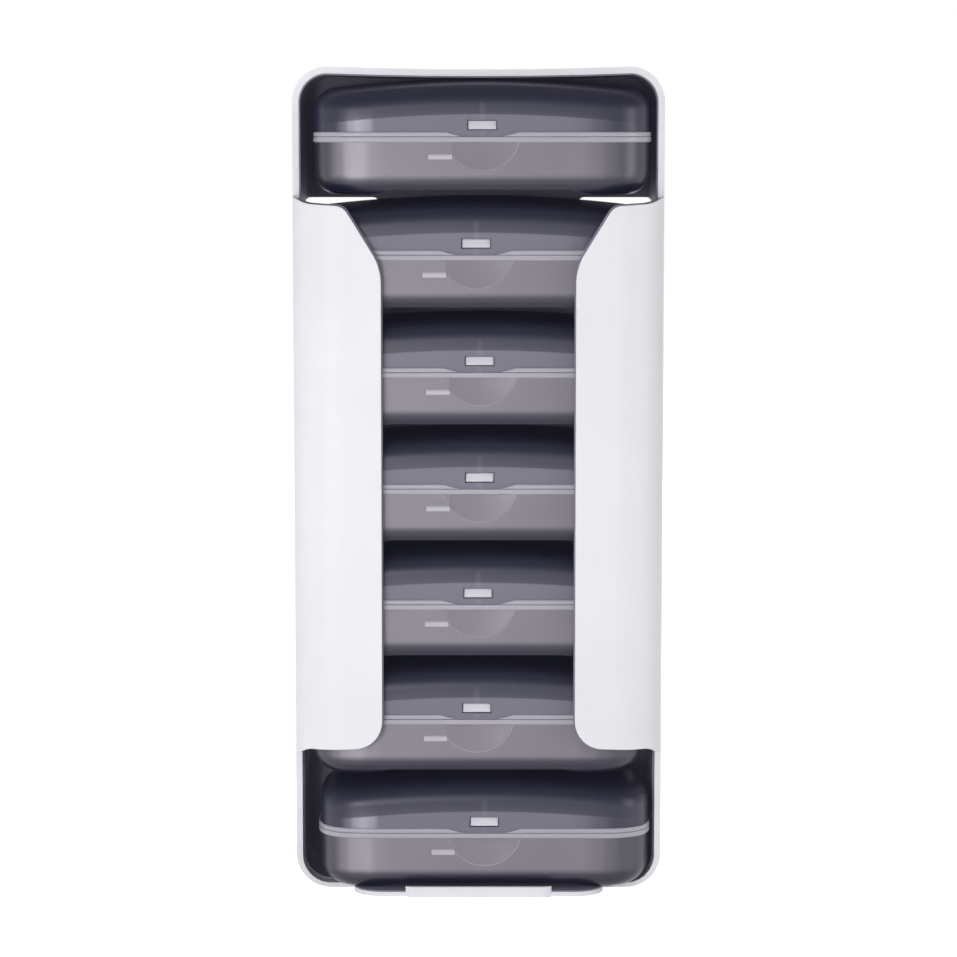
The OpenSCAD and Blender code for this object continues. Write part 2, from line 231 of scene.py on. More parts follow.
def boolean(target, tool, operation):
    """Applies one exact boolean to target and removes the tool."""
    mod = target.modifiers.new("cut", "BOOLEAN")
    mod.operation = operation
    mod.object = tool
    mod.solver = "EXACT"
    graph = bpy.context.evaluated_depsgraph_get()
    mesh = bpy.data.meshes.new_from_object(target.evaluated_get(graph))
    target.modifiers.clear()
    old = target.data
    target.data = mesh
    bpy.data.meshes.remove(old)
    old = tool.data
    bpy.data.objects.remove(tool)
    bpy.data.meshes.remove(old)


def bevelled(obj, width, segments, angle=30):
    """Rounds the edges of a simple solid that are sharper than angle."""
    bm = bmesh.new()
    bm.from_mesh(obj.data)
    edges = [e for e in bm.edges
             if len(e.link_faces) == 2 and e.calc_face_angle(0) > radians(angle)]
    bmesh.ops.bevel(bm, geom=edges, offset=width, segments=segments, profile=0.5,
                    affect="EDGES", clamp_overlap=True)
    bm.to_mesh(obj.data)
    bm.free()
    return obj


def block(x0, x1, y0, y1, z0, z1):
    verts = [(x, y, z) for z in (z0, z1) for y in (y0, y1) for x in (x0, x1)]
    faces = [(0, 2, 3, 1), (4, 5, 7, 6), (0, 1, 5, 4), (2, 6, 7, 3), (0, 4, 6, 2), (1, 3, 7, 5)]
    return make_object("block", verts, faces)


def prism(points, axis, low, high):
    """Runs a closed outline along x, with (y, z) points, or along y, with (x, z) points."""
    place = {
        "x": lambda p, h: (h, p[0], p[1]),
        "y": lambda p, h: (p[0], h, p[1]),
    }[axis]
    n = len(points)
    verts = [place(p, low) for p in points] + [place(p, high) for p in points]
    faces = [tuple(range(n)), tuple(range(2 * n - 1, n - 1, -1))]
    faces += [(i, i + n, (i + 1) % n + n, (i + 1) % n) for i in range(n)]
    obj = make_object("prism", verts, faces)
    clean_mesh(obj, JOIN_FINE)
    return obj


def hinge_bar(radius, x0, x1):
    """A round bar on the hinge's axis."""
    turns = [2 * pi * i / ROD_STEPS for i in range(ROD_STEPS)]
    outline = [(HINGE_Y + radius * cos(a), TRAY_H + radius * sin(a)) for a in turns]
    return prism(outline, "x", x0, x1)


def lathe(profile, up, name):
    """Turns (radius, y) pairs round an axis that runs back from the front at height up."""
    n = LATHE_STEPS
    verts = []
    for r, y in profile:
        for i in range(n):
            a = 2 * pi * i / n
            verts.append((r * cos(a), y, up + r * sin(a)))
    faces = [tuple(range(n)), tuple(range(len(verts) - 1, len(verts) - 1 - n, -1))]
    for k in range(len(profile) - 1):
        for i in range(n):
            j = (i + 1) % n
            faces.append((k * n + i, (k + 1) * n + i, (k + 1) * n + j, k * n + j))
    obj = make_object(name, verts, faces)
    clean_mesh(obj, JOIN_FINE)
    return obj


def span(a, b, n):
    return [a + (b - a) * i / n for i in range(n + 1)]


# Rings round a box, and skins made of them


def stations():
    """Places round a box's outline: its part, how far along it, and a corner's two signs."""
    left = span(-ARC_X, -FINE_HALF, COARSE_STEPS)[:-1]
    right = span(FINE_HALF, ARC_X, COARSE_STEPS)[1:]
    xs = left + span(-FINE_HALF, FINE_HALF, FINE_STEPS) + right
    ys = span(-ARC_Y, ARC_Y, SIDE_STEPS)
    turn = span(0, 90, TURN_STEPS)[1:-1]
    out = [("front", x, 0) for x in xs]
    out += [("corner", a, (1, -1)) for a in turn]
    out += [("right", y, 0) for y in ys]
    out += [("corner", a, (1, 1)) for a in reversed(turn)]
    out += [("back", x, 0) for x in reversed(xs)]
    out += [("corner", a, (-1, 1)) for a in turn]
    out += [("left", y, 0) for y in reversed(ys)]
    out += [("corner", a, (-1, -1)) for a in reversed(turn)]
    return out


def side_share(station):
    """How much a place belongs to a side: 1 there, and 0 at the front and the back."""
    part, along, _ = station
    if part == "corner":
        return sin(radians(along)) ** 2
    return 1.0 if part in ("left", "right") else 0.0


STATIONS = stations()
SHARE = [side_share(s) for s in STATIONS]


def contour(in_x, in_y):
    """The outline of a box drawn in by in_x at its sides and in_y at front and back."""
    out = []
    for part, along, sign in STATIONS:
        if part == "front":
            out.append((along, in_y))
        elif part == "back":
            out.append((along, BOX_D - in_y))
        elif part == "right":
            out.append((HX - in_x, HY + along))
        elif part == "left":
            out.append((in_x - HX, HY + along))
        else:
            a = radians(along)
            out.append((
                sign[0] * (ARC_X + max(CORNER - in_x, 0) * sin(a) ** (2 / CORNER_POWER)),
                HY + sign[1] * (ARC_Y + max(CORNER - in_y, 0) * cos(a) ** (2 / CORNER_POWER)),
            ))
    return out


def ring(inset, height, in_y=None):
    """One ring of points, drawn in from the outline by inset, or by in_y at front and back.

    height is a number, or a function of x, y and side share.
    """
    points = contour(inset, inset if in_y is None else in_y)
    if not callable(height):
        return [(x, y, height) for x, y in points]
    return [(x, y, height(x, y, share)) for (x, y), share in zip(points, SHARE)]


def loft(rings, name, capped=False):
    """Joins rings to a skin. Where it is capped, one face closes each end."""
    n = len(STATIONS)
    verts = [p for points in rings for p in points]
    faces = []
    for k in range(len(rings) - 1):
        for i in range(n):
            j = (i + 1) % n
            faces.append((k * n + i, k * n + j, (k + 1) * n + j, (k + 1) * n + i))
    if capped:
        faces.append(tuple(range(n - 1, -1, -1)))
        faces.append(tuple((len(rings) - 1) * n + i for i in range(n)))
    return make_object(name, verts, faces)


def inner_skin(rings, wall):
    """The same rings, moved inwards by the wall."""
    n = len(rings[0])
    out = []
    for k, points in enumerate(rings):
        below = rings[max(k - 1, 0)]
        above = rings[min(k + 1, len(rings) - 1)]
        moved = []
        for i in range(n):
            along = Vector(points[(i + 1) % n]) - Vector(points[i - 1])
            up = Vector(above[i]) - Vector(below[i])
            normal = along.cross(up)
            if normal.length < NO_LENGTH:
                normal = Vector((0, 0, 1))
            normal.normalize()
            moved.append(tuple(Vector(points[i]) - normal * wall))
        out.append(moved)
    return out


# What a tray and a lid share


def finish_piece(obj, name):
    """Scales a piece to metres and smooths it, apart from its real edges."""
    clean_mesh(obj)
    obj.name = name
    obj.data.name = name
    obj.data.transform(Matrix.Scale(MM, 4))
    for p in obj.data.polygons:
        p.use_smooth = True
    obj.data.set_sharp_from_angle(angle=radians(SMOOTH_ANGLE))
    mod = obj.modifiers.new("normals", "WEIGHTED_NORMAL")
    mod.keep_sharp = True
    mod.weight = NORMAL_WEIGHT
    return obj


def knuckle(x0, x1, down):
    """A hinge knuckle with its web to the back wall of the tray, below, or of the lid."""
    obj = bevelled(hinge_bar(HINGE_R, x0, x1), KNUCKLE_BEVEL, segments=2, angle=60)
    wall_y = BOX_D - BEAD - LID_WALL / 2
    if down:
        z0, z1 = TRAY_H - HINGE_R, TRAY_H - HALF_SEAM
    else:
        z0, z1 = TRAY_H + HALF_SEAM, TRAY_H + HINGE_R
    boolean(obj, block(x0, x1, wall_y, HINGE_Y, z0, z1), "UNION")
    return obj


def bore(obj):
    """Drills the rod's bore through the knuckles."""
    boolean(obj, hinge_bar(BORE_R, -HX, HX), "DIFFERENCE")


# The lid


def top_height(x, y):
    """Height of a lid's crowned top above the seam, before its edges are rounded."""
    side = CROWN_SIDE_R - sqrt(CROWN_SIDE_R ** 2 - min(abs(y - HY), HY) ** 2)
    front = CROWN_R - sqrt(CROWN_R ** 2 - x * x)
    return LID_H - side - front


# The centres of the rounded edges at the front and at the sides, above the seam and from the
# lid's middle, and how far in from the wall each rounding ends.
EDGE_Y = HY - BEAD - LID_EDGE_R
EDGE_Z = LID_H - CROWN_SIDE_R + sqrt((CROWN_SIDE_R - LID_EDGE_R) ** 2 - EDGE_Y ** 2)
SIDE_X = HX - BEAD - LID_SIDE_R
SIDE_Z = LID_H - CROWN_R + sqrt((CROWN_R - LID_SIDE_R) ** 2 - SIDE_X ** 2)
EDGE_END = LID_EDGE_R * (1 - cos(atan2(EDGE_Z - LID_H + CROWN_SIDE_R, EDGE_Y)))
SIDE_END = LID_SIDE_R * (1 - cos(atan2(SIDE_Z - LID_H + CROWN_R, SIDE_X)))


def drop(inset, share):
    """How far a lid's rounded edge lies below its crowned top, inset from the wall."""
    front = side = 0.0
    if inset < EDGE_END:
        arc = sqrt(LID_EDGE_R ** 2 - (LID_EDGE_R - inset) ** 2)
        front = top_height(0, BEAD + inset) - EDGE_Z - arc
    if inset < SIDE_END:
        arc = sqrt(LID_SIDE_R ** 2 - (LID_SIDE_R - inset) ** 2)
        side = top_height(HX - BEAD - inset, HY) - SIDE_Z - arc
    return max(0.0, (1 - share) * front + share * side)


def lid_bead():
    """The rings of a lid's bead, from its inner lower edge to the foot of the wall."""
    seam = TRAY_H + HALF_SEAM
    top = TRAY_H + LID_BEAD
    rings = [ring(BEAD + LID_WALL, seam)]
    rings += [ring(inset, seam + up) for inset, up in LID_BEAD_LOW]
    rings += [ring(inset, top - down) for inset, down in LID_BEAD_TOP]
    return rings


def lid_shell():
    """The rings of a lid's wall, its rounded edge and its crowned top."""
    foot = TRAY_H + LID_BEAD + LID_WALL_FOOT

    def rounded(inset):
        return lambda x, y, share: TRAY_H + top_height(x, y) - drop(inset, share)

    def wall(part):
        return lambda x, y, share: foot + (rounded(0)(x, y, share) - foot) * part

    rings = [ring(BEAD, wall(part)) for part in LID_WALL_PARTS]
    for k in range(1, LID_EDGE_RINGS + 1):
        inset = max(EDGE_END, SIDE_END) * (1 - cos(pi / 2 * k / LID_EDGE_RINGS))
        rings.append(ring(BEAD + inset, rounded(inset)))
    return rings + crown(rings[-1])


def crown(last):
    """Rings that close the crowned top onto a short line in its middle."""
    rings = []
    for part in span(0, 1, CROWN_RINGS)[1:]:
        points = []
        for x, y, _ in last:
            ridge_x = x * RIDGE / ARC_X if abs(x) < ARC_X else copysign(RIDGE, x)
            px = x + (ridge_x - x) * part
            py = y + (HY - y) * part
            points.append((px, py, TRAY_H + top_height(px, py)))
        rings.append(points)
    return rings


def bead_dip():
    """What the arc cuts away from the middle of the lid's bead."""
    arc = [(x, TRAY_H - DIP + DIP_R - sqrt(DIP_R ** 2 - x * x))
           for x in span(-DIP_HALF, DIP_HALF, DIP_STEPS)]
    corners = [(DIP_HALF, TRAY_H + DIP_UP), (-DIP_HALF, TRAY_H + DIP_UP)]
    return prism(arc + corners, "y", -PAST, BEAD + TOUCH)


def lid_rib():
    """The rib that meets the divider, under the crown and clear of the lip."""
    clear = LIP_IN + LIP_T + CATCH_GAP
    wall = BEAD + LID_WALL / 2
    over_lip = TRAY_H + LIP_UP + CATCH_GAP
    ceiling = TRAY_H + LID_H - LID_WALL / 2
    front = [
        (clear, TRAY_H + LAP), (clear, over_lip), (wall, over_lip), (wall, TRAY_H + EDGE_Z),
        (BEAD + RIB_SHOULDER[0], ceiling - RIB_SHOULDER[1]),
        (HY - RIB_CROWN[0], ceiling - RIB_CROWN[1]),
    ]
    back = [(BOX_D - y, z) for y, z in front]
    outline = front[:1] + back + [(HY, ceiling)] + front[:0:-1]
    return prism(outline, "x", -DIVIDER / 2, DIVIDER / 2)


def catch_window():
    half_w = CATCH_W / 2 + CATCH_GAP
    half_h = CATCH_H / 2 + CATCH_GAP
    z = TRAY_H + CATCH_Z
    return block(-half_w, half_w, -PAST, LIP_IN, z - half_h, z + half_h)


def build_lid():
    outer = lid_shell()
    inner = inner_skin(outer, LID_WALL)
    inner[0] = ring(BEAD + LID_WALL, TRAY_H + HALF_SEAM + LID_INNER_FOOT)
    obj = loft(inner[::-1] + lid_bead() + outer, "lid")
    clean_mesh(obj)
    boolean(obj, bead_dip(), "DIFFERENCE")
    boolean(obj, lid_rib(), "UNION")
    boolean(obj, catch_window(), "DIFFERENCE")
    half_w = (HINGE_W / 2 - 1.5 * KNUCKLE_W - 2 * KNUCKLE_GAP) / 2
    for side in (-1, 1):
        mid = side * (HINGE_W / 4 - KNUCKLE_W / 4)
        boolean(obj, knuckle(mid - half_w, mid + half_w, False), "UNION")
    bore(obj)
    return finish_piece(obj, "lid_form")


# The tray


def edge_ring(wall, angle, base):
    """One ring of a tray's rounded lower edge, wall further in. base is its lowest height."""
    a = radians(angle)
    in_side = (TRAY_SIDE_R - wall) * (1 - cos(a))
    in_front = (EDGE_D - wall) * (1 - cos(a))
    up_side = (TRAY_SIDE_R - wall) * (1 - sin(a))
    up_front = (EDGE_H - wall) * (1 - sin(a))

    def height(x, y, share):
        return base + share * up_side + (1 - share) * up_front

    return ring(BEAD + wall + in_side, height, BEAD + wall + in_front)


def tray_skin():
    """The rings of a tray, from its underside over the outside and the lip to its floor."""
    top = TRAY_H - HALF_SEAM
    low = top - TRAY_BEAD
    inner_lip = LIP_IN + LIP_T

    def lip_top(down):
        return lambda x, y, share: TRAY_H + LIP_UP - CROWN_R + sqrt(CROWN_R ** 2 - x * x) - down

    angles = [90 - 90 * i / TRAY_EDGE_RINGS for i in range(TRAY_EDGE_RINGS + 1)]
    rings = [edge_ring(0, angle, 0) for angle in angles]
    rings += [ring(BEAD, z) for z in (*TRAY_WALL_RINGS, low - TRAY_WALL_TOP)]
    rings += [ring(inset, low + up) for inset, up in TRAY_BEAD_LOW]
    rings += [ring(inset, top - down) for inset, down in TRAY_BEAD_TOP]
    rings += [
        ring(LIP_IN, top),
        ring(LIP_IN, lip_top(LIP_ROUND)),
        ring(LIP_IN + LIP_ROUND, lip_top(0)),
        ring(inner_lip - LIP_ROUND, lip_top(0)),
        ring(inner_lip, lip_top(LIP_ROUND)),
        ring(inner_lip, TRAY_H - LAP),
        ring(BEAD + TRAY_WALL, TRAY_H - LAP - LAP_SLOPE),
    ]
    rings += [edge_ring(TRAY_WALL, angle, TRAY_FLOOR) for angle in reversed(angles)]
    return rings


def divider():
    y0 = LIP_IN + LIP_T / 2
    return block(-DIVIDER / 2, DIVIDER / 2, y0, BOX_D - y0,
                 TRAY_FLOOR - DIVIDER_ROOT, TRAY_H + DIVIDER_UP)


def channel():
    """The shallow arch along the tray's underside."""
    rise = [(CHANNEL_W + CHANNEL_RUN * t, CHANNEL_H * (0.5 + 0.5 * cos(pi * t)))
            for t in span(0, 1, CHANNEL_STEPS)]
    foot = CHANNEL_W + CHANNEL_RUN
    arch = [(-x, z) for x, z in reversed(rise)] + rise + [(foot, -PAST), (-foot, -PAST)]
    return prism(arch, "y", -PAST, BOX_D + PAST)


def scoops(top):
    """The thumb scoop below top: its thin round step, and its dish with an upright left end."""
    up = TRAY_H + SCOOP_UP
    rim = SCOOP_R - SCOOP_LEAN
    floor_y = BEAD + SCOOP_STEP
    side = [(SCOOP_R + STEP_WIDER, BEAD - SCOOP_OUT), (SCOOP_R, BEAD), (rim, floor_y)]
    step = lathe(side, up, "step")
    boolean(step, block(-WIDE, WIDE, -PAST, DEEP, 0, top), "INTERSECT")
    bowl = [(rim + DISH_WIDER, BEAD - SCOOP_OUT), (rim, BEAD + SCOOP_STEP * DISH_START)]
    bowl += [(rim * part, floor_y + SCOOP_D * (1 - part ** 2)) for part in DISH_PARTS]
    dish = lathe(bowl, up, "dish")
    boolean(dish, block(-SCOOP_LEFT, WIDE, -PAST, DEEP, 0, top), "INTERSECT")
    return step, dish


def nib():
    low = TRAY_H + CATCH_Z - CATCH_H / 2
    top = low + CATCH_H
    outline = [(LIP_IN + NIB_ROOT, low), (BEAD + NIB_IN, low),
               (BEAD + LID_WALL * NIB_TOP_SHARE, top), (LIP_IN + NIB_ROOT, top)]
    return bevelled(prism(outline, "x", -CATCH_W / 2, CATCH_W / 2), NIB_BEVEL, segments=2)


def ledge():
    z = TRAY_H - LEDGE_DOWN
    half = LEDGE_H / 2
    root = BEAD + LEDGE_ROOT
    outline = [(root, z + half), (BEAD, z + half), (LEDGE_Y, z + half * LEDGE_SLOPE),
               (LEDGE_Y, z - half), (root, z - half)]
    return bevelled(prism(outline, "x", LEDGE_X, LEDGE_X + LEDGE_W), LEDGE_BEVEL, segments=3)


def build_tray():
    obj = loft(tray_skin(), "tray", capped=True)
    clean_mesh(obj)
    boolean(obj, divider(), "UNION")
    boolean(obj, channel(), "DIFFERENCE")
    for hollow in scoops(TRAY_H - HALF_SEAM - TRAY_BEAD):
        boolean(obj, hollow, "DIFFERENCE")
    boolean(obj, nib(), "UNION")
    boolean(obj, ledge(), "UNION")
    end = HINGE_W / 2 - KNUCKLE_W / 2
    for mid in (-end, 0, end):
        boolean(obj, knuckle(mid - KNUCKLE_W / 2, mid + KNUCKLE_W / 2, True), "UNION")
    bore(obj)
    return finish_piece(obj, "tray_form")


# Materials

SHELL_DARK = (0.80, 0.79, 0.83)
SHELL_LIGHT = (0.84, 0.83, 0.87)
LINER_DARK = (0.170, 0.170, 0.215)
LINER_LIGHT = (0.190, 0.190, 0.240)
# The tray's and the lid's colours are those at the painted highlight near their left corners, and
# their middles show less of them.
TRAY_COLOUR = (0.345, 0.314, 0.362)
# The tray's dark colour is painted shade, at its underside and its ends.
TRAY_PAINTED_SHADE = (0.007, 0.007, 0.020)
LID_COLOUR = (0.380, 0.360, 0.448)
# The lid's dark smoky colour, which also serves as painted shade at its ends.
LID_DARK = (0.017, 0.017, 0.036)
# Painted highlights: the lighter colours of the beads, the nib, the ledge and the scoop's edge.
RIM_HIGHLIGHT_COLOUR = (0.395, 0.38, 0.435)
NIB_HIGHLIGHT_COLOUR = (0.72, 0.71, 0.77)
LEDGE_HIGHLIGHT_COLOUR = (0.50, 0.48, 0.55)
SCOOP_EDGE_HIGHLIGHT_COLOUR = (0.43, 0.41, 0.47)
STEEL_DARK = (0.42, 0.42, 0.43)
STEEL_LIGHT = (0.62, 0.62, 0.63)
FLOOR_COLOUR = (0.85, 0.85, 0.86)
WHITE = (1, 1, 1)

# Painted glow: the smoky plastics and the lining emit a faint colour, which stands in for the
# little light that the smoky walls let through and what of it reaches the lining.
SMOKY_PAINTED_GLOW = (0.005, 0.005, 0.008)
LINER_PAINTED_GLOW = (0.009, 0.009, 0.014)

# The scales of the noise in moulded and in smoky plastic: clouds in the colour, uneven gloss, and
# grain, with the detail and roughness of the clouds and the grain. Depths of grain are in metres.
MOULDED_CLOUDS = 28
MOULDED_GLOSS = 160
MOULDED_GRAIN = 1900
MOULDED_DEPTH = 0.00004
SMOKY_CLOUDS = 34
SMOKY_GLOSS = 150
SMOKY_GRAIN = 2600
SMOKY_DEPTH = 0.00003
SMOKY_BUMP = 0.2
CLOUD_DETAIL = 2
GRAIN_DETAIL = 4
GRAIN_ROUGH = 0.6

# The values between which most of a noise lies, how much the gloss of a plastic varies, and how
# much the clouds in a smoky colour lighten and darken it.
NOISE_LOW = 0.28
NOISE_HIGH = 0.72
MOULDED_SPREAD = 0.05
SMOKY_SPREAD = 0.02
CLOUD_SPREAD = 0.05

# The lines in drawn steel are noise that is squeezed across the rod.
STEEL_LINES = (90, 5200, 5200)
STEEL_GLOSS = (0.22, 0.4)


class Nodes:
    """A short way to write a node tree."""

    def __init__(self, tree):
        self.tree = tree

    def feed(self, socket, value):
        """Links another socket to this one, or sets a number, a vector or an (r, g, b)."""
        if isinstance(value, bpy.types.NodeSocket):
            self.tree.links.new(value, socket)
        elif socket.type == "RGBA":
            socket.default_value = (*value, 1)
        else:
            socket.default_value = value

    def node(self, kind, **values):
        """Adds a node. in_NAME feeds the socket of that name, and others are attributes."""
        n = self.tree.nodes.new(kind)
        for key, value in values.items():
            if key.startswith("in_"):
                self.feed(n.inputs[key[3:].replace("_", " ")], value)
            else:
                setattr(n, key, value)
        return n

    def math(self, operation, *values):
        n = self.node("ShaderNodeMath", operation=operation)
        for socket, value in zip(n.inputs, values):
            self.feed(socket, value)
        return n.outputs[0]

    def ramp(self, source, low, high, a=NOISE_LOW, b=NOISE_HIGH, kind="LINEAR"):
        """Goes from low to high as the source goes from a to b."""
        n = self.node("ShaderNodeMapRange", interpolation_type=kind, in_Value=source,
                      in_From_Min=a, in_From_Max=b, in_To_Min=low, in_To_Max=high)
        return n.outputs["Result"]

    def mix(self, factor, a, b):
        """A colour from a to b. Each is a socket or an (r, g, b)."""
        n = self.node("ShaderNodeMix", data_type="RGBA", in_Factor=factor)
        colour_a, colour_b, colour_out = n.inputs[6], n.inputs[7], n.outputs[2]
        self.feed(colour_a, a)
        self.feed(colour_b, b)
        return colour_out

    def coords(self):
        return self.node("ShaderNodeTexCoord").outputs["Object"]

    def axes(self):
        """The place on the piece in metres: its x and its z."""
        split = self.node("ShaderNodeSeparateXYZ")
        self.feed(split.inputs[0], self.coords())
        return split.outputs["X"], split.outputs["Z"]

    def noise(self, scale, detail=3.0, rough=0.5, coords=None):
        n = self.node("ShaderNodeTexNoise", in_Vector=coords or self.coords(), in_Scale=scale,
                      in_Detail=detail, in_Roughness=rough)
        return n.outputs["Fac"]

    def bump(self, source, strength, distance):
        n = self.node("ShaderNodeBump", in_Strength=strength, in_Distance=distance,
                      in_Height=source)
        return n.outputs["Normal"]

    def shade(self, source, steps):
        """Grey factor along a length: steps are (mm, factor) pairs in rising order."""
        low, high = steps[0][0], steps[-1][0]
        n = self.node("ShaderNodeValToRGB")
        elements = n.color_ramp.elements
        n.color_ramp.interpolation = "EASE"
        while len(elements) < len(steps):
            elements.new(0.5)
        for e, (at, value) in zip(elements, steps):
            e.position = (at - low) / (high - low)
            e.color = (value, value, value, 1)
        self.feed(n.inputs["Fac"], self.ramp(source, 0, 1, low * MM, high * MM))
        return n.outputs["Color"]


class Material(Nodes):
    """A material, written as what feeds its Principled shader."""

    def __init__(self, name):
        self.material = bpy.data.materials.new(name)
        self.material.use_nodes = True
        super().__init__(self.material.node_tree)
        self.shader = self.tree.nodes["Principled BSDF"]

    def set(self, **values):
        for key, value in values.items():
            self.feed(self.shader.inputs[key.replace("_", " ")], value)


def moulded(name, dark, light, rough, bump, painted_glow=None):
    """Moulded plastic: slight flow clouds in its colour, and a fine spark-eroded grain.

    Where a glow is given, the plastic emits it: a painted glow for the little light that reaches
    it through the smoky boxes.
    """
    m = Material(name)
    clouds = m.ramp(m.noise(MOULDED_CLOUDS, CLOUD_DETAIL), 0, 1)
    grain = m.noise(MOULDED_GRAIN, GRAIN_DETAIL, GRAIN_ROUGH)
    m.set(Base_Color=m.mix(clouds, dark, light),
          Roughness=m.ramp(m.noise(MOULDED_GLOSS), rough - MOULDED_SPREAD, rough + MOULDED_SPREAD),
          Normal=m.bump(grain, bump, MOULDED_DEPTH))
    if painted_glow:
        m.set(Emission_Color=painted_glow, Emission_Strength=1.0)
    return m.material


def smoky(name, rough):
    """Frosted smoky plastic, which still needs its colour. It emits a faint painted glow for the
    light that passes through it.
    """
    m = Material(name)
    grain = m.noise(SMOKY_GRAIN, GRAIN_DETAIL, GRAIN_ROUGH)
    m.set(IOR=1.5, Specular_IOR_Level=0.45, Specular_Tint=(0.95, 0.95, 1.0),
          Emission_Color=SMOKY_PAINTED_GLOW, Emission_Strength=1.0,
          Roughness=m.ramp(m.noise(SMOKY_GLOSS), rough - SMOKY_SPREAD, rough + SMOKY_SPREAD),
          Normal=m.bump(grain, SMOKY_BUMP, SMOKY_DEPTH))
    return m


def clouded(m, colour):
    """The colour, with faint clouds in it."""
    dark = tuple(c * (1 - CLOUD_SPREAD) for c in colour)
    light = tuple(c * (1 + CLOUD_SPREAD) for c in colour)
    return m.mix(m.ramp(m.noise(SMOKY_CLOUDS, CLOUD_DETAIL), 0, 1), dark, light)


def tray_material():
    """The wall shows the lit inside of the tray. Its lower edge and its ends are painted darker as
    painted shade, and a painted highlight lies near its left corner.
    """
    m = smoky("smoky_tray", rough=0.33)
    x, z = m.axes()
    # Painted shade: darker towards the underside, below 5.6 mm.
    edge = m.shade(z, [(0, 0), (2.2, 0), (3.5, 0.13), (5.6, 1)])
    # Painted shade at both ends, and a painted highlight that peaks near the left corner; the left
    # half is also painted a little lighter than the right.
    end = m.shade(x, [
        (-46, 0.02), (-41.6, 0.13), (-38, 0.58), (-36, 0.86), (-31.8, 1), (-28.8, 0.74),
        (-25, 0.67), (26, 0.59), (31, 0.48), (34, 0.34), (38, 0.19), (46, 0.02)])
    m.set(Base_Color=m.mix(m.math("MULTIPLY", edge, end), TRAY_PAINTED_SHADE, clouded(m, TRAY_COLOUR)))
    return m.material


def lid_material():
    """The tray's lip shows through the lower band of the lid's wall, and the rib above it. Over
    the band the colour fades to the dark one. The ends are painted darker as painted shade, and a
    painted highlight lies near the left corner.
    """
    m = smoky("smoky_lid", rough=0.38)
    x, z = m.axes()
    across = m.math("ABSOLUTE", x)
    # The height with the curve of the lip's top taken out, which is x * x / (2 * CROWN_R).
    level = m.math("MULTIPLY_ADD", m.math("MULTIPLY", across, across), 1 / (2 * CROWN_R * MM), z)
    band = TRAY_H + LIP_UP
    lip = m.shade(level, [(band - 0.6, 1), (band - 0.1, 0.17), (band + 1.2, 0.07),
                          (band + 2.6, 0)])
    # Painted shade at both ends, and a painted highlight that peaks near the left corner.
    end = m.shade(x, [
        (-46, 0), (-39.5, 0.03), (-37, 0.3), (-35, 0.76), (-33, 1), (-30.5, 0.8), (-28.3, 0.36),
        (-24, 0.365), (23, 0.375), (27, 0.316), (31, 0.17), (36, 0.047), (46, 0.008)])
    rib = m.math("MULTIPLY", m.shade(across, [(0.3, 0.063), (1.1, 0)]),
                 m.shade(level, [(band + 1.8, 1), (band + 3.4, 0)]))
    seen = m.math("ADD", m.math("MULTIPLY", lip, end), rib)
    m.set(Base_Color=m.mix(seen, LID_DARK, clouded(m, LID_COLOUR)))
    return m.material


def pale(name, colour):
    """A lighter colour for small parts of a box, such as the beads, the nib, the ledge and the
    scoop's edge: a painted highlight where these catch the light.
    """
    m = smoky(name, rough=0.31)
    m.set(Base_Color=clouded(m, colour))
    return m.material


def steel():
    """Drawn steel, with fine lines along the rod."""
    m = Material("drawn_steel")
    stretch = m.node("ShaderNodeMapping", in_Vector=m.coords(), in_Scale=STEEL_LINES)
    lines = m.noise(1.0, coords=stretch.outputs["Vector"])
    m.set(Metallic=1.0, Base_Color=m.mix(m.ramp(lines, 0, 1), STEEL_DARK, STEEL_LIGHT),
          Roughness=m.ramp(lines, *STEEL_GLOSS))
    return m.material


SHELL = moulded("satin_white", SHELL_DARK, SHELL_LIGHT, rough=0.52, bump=0.22)
# The lining emits a faint painted glow, which lifts its deep shade.
LINER = moulded("satin_black", LINER_DARK, LINER_LIGHT, rough=0.5, bump=0.3, painted_glow=LINER_PAINTED_GLOW)
TRAY = tray_material()
LID = lid_material()
RIM = pale("smoky_rim", RIM_HIGHLIGHT_COLOUR)
CATCH = pale("smoky_catch", NIB_HIGHLIGHT_COLOUR)
LEDGE = pale("smoky_ledge", LEDGE_HIGHLIGHT_COLOUR)
EDGE = pale("smoky_edge", SCOOP_EDGE_HIGHLIGHT_COLOUR)
STEEL = steel()


def use(obj, material):
    obj.data.materials.clear()
    obj.data.materials.append(material)


def paint(obj, material, test):
    """Gives a material to the faces whose middle, in millimetres, passes the test."""
    obj.data.materials.append(material)
    index = len(obj.data.materials) - 1
    for p in obj.data.polygons:
        middle = p.center / MM
        if test(middle.x, middle.y, middle.z):
            p.material_index = index


# Where the painted highlights of a box are: its beads, the catch's nib, the ledge and the scoop's
# edge. A face's middle may lie NEAR or LOOSE off. What is less than SEAM_PART over the seam or
# TOP_PART under a tray's top goes with the beads.
NEAR = 0.02
LOOSE = 0.1
SEAM_PART = 0.5
TOP_PART = 0.05


def outside(x, y):
    """How far a point of a box is drawn in from its outline."""
    ax, ay = abs(x) - ARC_X, abs(y - HY) - ARC_Y
    if ax > 0 and ay > 0:
        return CORNER - (ax ** CORNER_POWER + ay ** CORNER_POWER) ** (1 / CORNER_POWER)
    return min(HX - abs(x), HY - abs(y - HY))


def on_lid_bead(x, y, z):
    if z >= TRAY_H + LID_BEAD + NEAR:
        return False
    return outside(x, y) < BEAD - NEAR or z < TRAY_H + SEAM_PART


def on_tray_bead(x, y, z):
    if not TRAY_H - TRAY_BEAD - LOOSE < z < TRAY_H + SEAM_PART:
        return False
    inset = outside(x, y)
    on_top = z > TRAY_H - HALF_SEAM - TOP_PART and inset < LIP_IN
    return on_top or -LOOSE < inset < BEAD - NEAR


